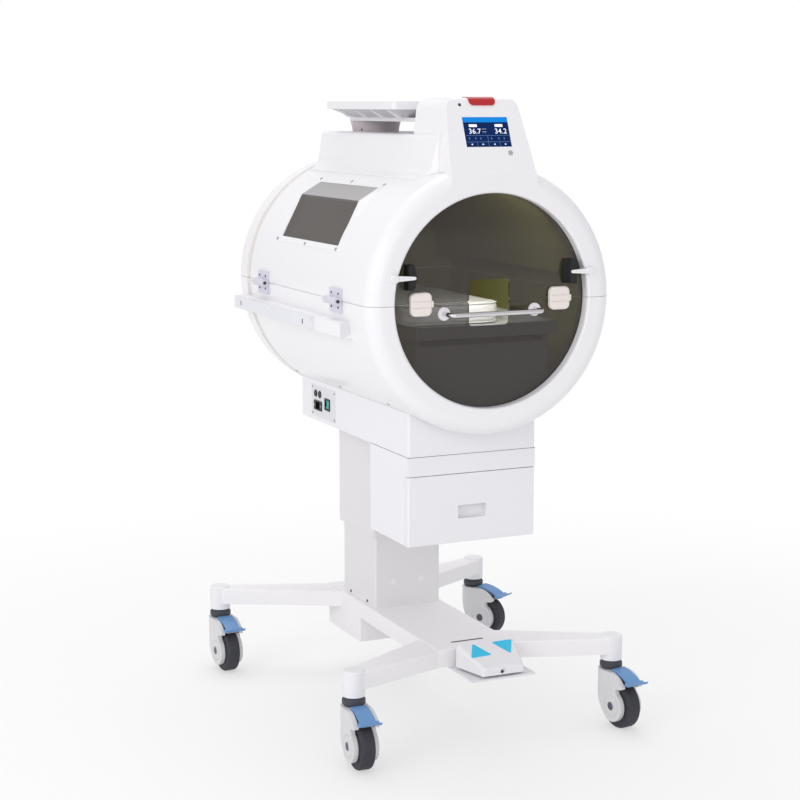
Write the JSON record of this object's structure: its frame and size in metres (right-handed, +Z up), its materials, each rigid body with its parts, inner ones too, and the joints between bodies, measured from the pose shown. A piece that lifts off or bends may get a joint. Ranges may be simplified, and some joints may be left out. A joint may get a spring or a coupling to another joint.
{
  "type": "infant phototherapy unit",
  "caption": "Drum-shaped infant phototherapy unit with a hinged hood, slide-out bed, control tower and drawer, on a lifting column with caster legs.",
  "frame": {"origin": "on the floor, below the centre of the whole unit's bounding box", "axes": "+X to the right seen from the bed's handle end, +Y towards the closed back of the drum, +Z up"},
  "size_m": [0.7628, 0.8508, 1.3225],
  "materials": {
    "shell_white": "gloss",
    "body_white": "satin",
    "column_paint": "satin",
    "base_paint": "satin",
    "smoke_window": "gloss",
    "side_smoke": "gloss",
    "canopy_olive": "matte",
    "reflector_metal": "gloss",
    "lamp_glass": "gloss",
    "mattress_white": "matte",
    "tray_white": "satin",
    "handle_chrome": "gloss",
    "washer_white": "gloss",
    "latch_ivory": "satin",
    "stop_rubber": "matte",
    "lever_white": "matte",
    "rail_paint": "satin",
    "hinge_grey": "satin",
    "screen_navy": "gloss",
    "lens_red": "gloss",
    "panel_grey": "matte",
    "fitting_black": "matte",
    "switch_green": "gloss",
    "pedestal_grey": "matte",
    "shelf_white": "satin",
    "caster_grey": "satin",
    "tyre_dark": "matte",
    "brake_blue": "satin",
    "collar_dark": "matte",
    "cap_white": "satin",
    "pedal_white": "matte",
    "bracket_steel": "satin",
    "actuator_metal": "satin"
  },
  "bodies": {
    "base": {"base_beam": "base_paint", "power_box": "base_paint", "legs": "base_paint", "leg_end_caps": "cap_white", "caster_collars": "collar_dark", "inner_column": "column_paint", "actuator_tube": "actuator_metal", "pedal_bracket": "bracket_steel"},
    "foot_pedal": {"foot_pedal": "pedal_white"},
    "carriage": {"column_sleeve": "column_paint", "lift_rod": "bracket_steel", "barrel_housing": "body_white", "socket_panel": "panel_grey", "panel_fittings": "fitting_black", "cabinet_shell": "body_white", "lower_shell": "shell_white", "side_rail": "rail_paint", "lower_lamp_box": "tray_white", "bed_runners": "actuator_metal", "hinge_leaves_lower": "hinge_grey"},
    "power_switch": {"power_switch": "switch_green"},
    "drawer": {"drawer_front": "body_white", "drawer_box": "body_white"},
    "bed": {"bed_tray": "tray_white", "mattress": "mattress_white", "lower_window": "smoke_window", "bed_handle": "handle_chrome", "handle_mounts": "washer_white"},
    "latch_left": {"latch_left": "latch_ivory"},
    "latch_right": {"latch_right": "latch_ivory"},
    "hood": {"hood_shell": "shell_white", "top_housing": "shell_white", "side_windows": "side_smoke", "upper_window": "smoke_window", "window_stops": "stop_rubber", "display_screen": "screen_navy", "alarm_lens": "lens_red", "inner_canopy": "canopy_olive", "upper_reflector": "reflector_metal", "upper_lamps": "lamp_glass", "shelf_pedestal": "pedestal_grey", "shelf_plate": "shelf_white", "instrument_shelf": "shelf_white", "hinge_leaves_upper": "hinge_grey"},
    "lever_left": {"lever_left": "lever_white"},
    "lever_right": {"lever_right": "lever_white"},
    "fork_front_left": {"caster_fork_front_left": "caster_grey"},
    "wheel_front_left": {"caster_wheel_front_left": "tyre_dark"},
    "brake_front_left": {"caster_brake_front_left": "brake_blue"},
    "fork_front_right": {"caster_fork_front_right": "caster_grey"},
    "wheel_front_right": {"caster_wheel_front_right": "tyre_dark"},
    "brake_front_right": {"caster_brake_front_right": "brake_blue"},
    "fork_rear_left": {"caster_fork_rear_left": "caster_grey"},
    "wheel_rear_left": {"caster_wheel_rear_left": "tyre_dark"},
    "brake_rear_left": {"caster_brake_rear_left": "brake_blue"},
    "fork_rear_right": {"caster_fork_rear_right": "caster_grey"},
    "wheel_rear_right": {"caster_wheel_rear_right": "tyre_dark"},
    "brake_rear_right": {"caster_brake_rear_right": "brake_blue"}
  },
  "joints": [
    {"name": "column_lift", "type": "slide", "parent": "base", "child": "carriage", "axis": [0, 0, 1], "range_m": [-0.13, 0.05]},
    {"name": "hood_hinge", "type": "hinge", "parent": "carriage", "child": "hood", "pos_m": [-0.30405, -0.18257, 0.92], "axis": [0, -1, 0], "range_deg": [0, 65]},
    {"name": "bed_slide", "type": "slide", "parent": "carriage", "child": "bed", "axis": [0, -1, 0], "range_m": [0, 0.35]},
    {"name": "storage_drawer", "type": "slide", "parent": "carriage", "child": "drawer", "axis": [0, -1, 0], "range_m": [0, 0.14]},
    {"name": "foot_pedal_rock", "type": "hinge", "parent": "base", "child": "foot_pedal", "pos_m": [-0.01105, -0.29657, 0.17], "axis": [0, 1, 0], "range_deg": [-3.5, 3.5], "stiffness_Nm_per_rad": 12},
    {"name": "power_switch_rock", "type": "hinge", "parent": "carriage", "child": "power_switch", "pos_m": [-0.16205, 0.18043, 0.643], "axis": [0, 1, 0], "range_deg": [-8, 8]},
    {"name": "latch_left_turn", "type": "hinge", "parent": "bed", "child": "latch_left", "pos_m": [-0.17605, -0.32257, 0.909], "axis": [0, -1, 0], "range_deg": [0, 180]},
    {"name": "lever_left_turn", "type": "hinge", "parent": "hood", "child": "lever_left", "pos_m": [-0.23905, -0.34357, 0.974], "axis": [0, -1, 0], "range_deg": [0, 90]},
    {"name": "latch_right_turn", "type": "hinge", "parent": "bed", "child": "latch_right", "pos_m": [0.13395, -0.32257, 0.909], "axis": [0, 1, 0], "range_deg": [0, 180]},
    {"name": "lever_right_turn", "type": "hinge", "parent": "hood", "child": "lever_right", "pos_m": [0.19695, -0.34357, 0.974], "axis": [0, 1, 0], "range_deg": [0, 90]},
    {"name": "swivel_front_left", "type": "hinge", "parent": "base", "child": "fork_front_left", "pos_m": [-0.31945, -0.32357, 0.121], "axis": [0, 0, 1], "continuous": true},
    {"name": "wheel_spin_front_left", "type": "hinge", "parent": "fork_front_left", "child": "wheel_front_left", "pos_m": [-0.32104, -0.36153, 0.05], "axis": [0.9991, -0.0419, 0], "continuous": true},
    {"name": "brake_pedal_front_left", "type": "hinge", "parent": "fork_front_left", "child": "brake_front_left", "pos_m": [-0.32075, -0.35454, 0.113], "axis": [0.9991, -0.0419, 0], "range_deg": [0, 6]},
    {"name": "swivel_front_right", "type": "hinge", "parent": "base", "child": "fork_front_right", "pos_m": [0.27735, -0.32357, 0.121], "axis": [0, 0, 1], "continuous": true},
    {"name": "wheel_spin_front_right", "type": "hinge", "parent": "fork_front_right", "child": "wheel_front_right", "pos_m": [0.28132, -0.36136, 0.05], "axis": [0.9945, 0.1045, 0], "continuous": true},
    {"name": "brake_pedal_front_right", "type": "hinge", "parent": "fork_front_right", "child": "brake_front_right", "pos_m": [0.28059, -0.3544, 0.113], "axis": [0.9945, 0.1045, 0], "range_deg": [0, 6]},
    {"name": "swivel_rear_left", "type": "hinge", "parent": "base", "child": "fork_rear_left", "pos_m": [-0.35355, 0.39843, 0.121], "axis": [0, 0, 1], "continuous": true},
    {"name": "wheel_spin_rear_left", "type": "hinge", "parent": "fork_rear_left", "child": "wheel_rear_left", "pos_m": [-0.35203, 0.36046, 0.05], "axis": [0.9992, 0.0401, 0], "continuous": true},
    {"name": "brake_pedal_rear_left", "type": "hinge", "parent": "fork_rear_left", "child": "brake_rear_left", "pos_m": [-0.35231, 0.36746, 0.113], "axis": [0.9992, 0.0401, 0], "range_deg": [0, 6]},
    {"name": "swivel_rear_right", "type": "hinge", "parent": "base", "child": "fork_rear_right", "pos_m": [0.31145, 0.39843, 0.121], "axis": [0, 0, 1], "continuous": true},
    {"name": "wheel_spin_rear_right", "type": "hinge", "parent": "fork_rear_right", "child": "wheel_rear_right", "pos_m": [0.33045, 0.36552, 0.05], "axis": [0.866, 0.5, 0], "continuous": true},
    {"name": "brake_pedal_rear_right", "type": "hinge", "parent": "fork_rear_right", "child": "brake_rear_right", "pos_m": [0.32695, 0.37159, 0.113], "axis": [0.866, 0.5, 0], "range_deg": [0, 6]}
  ]
}
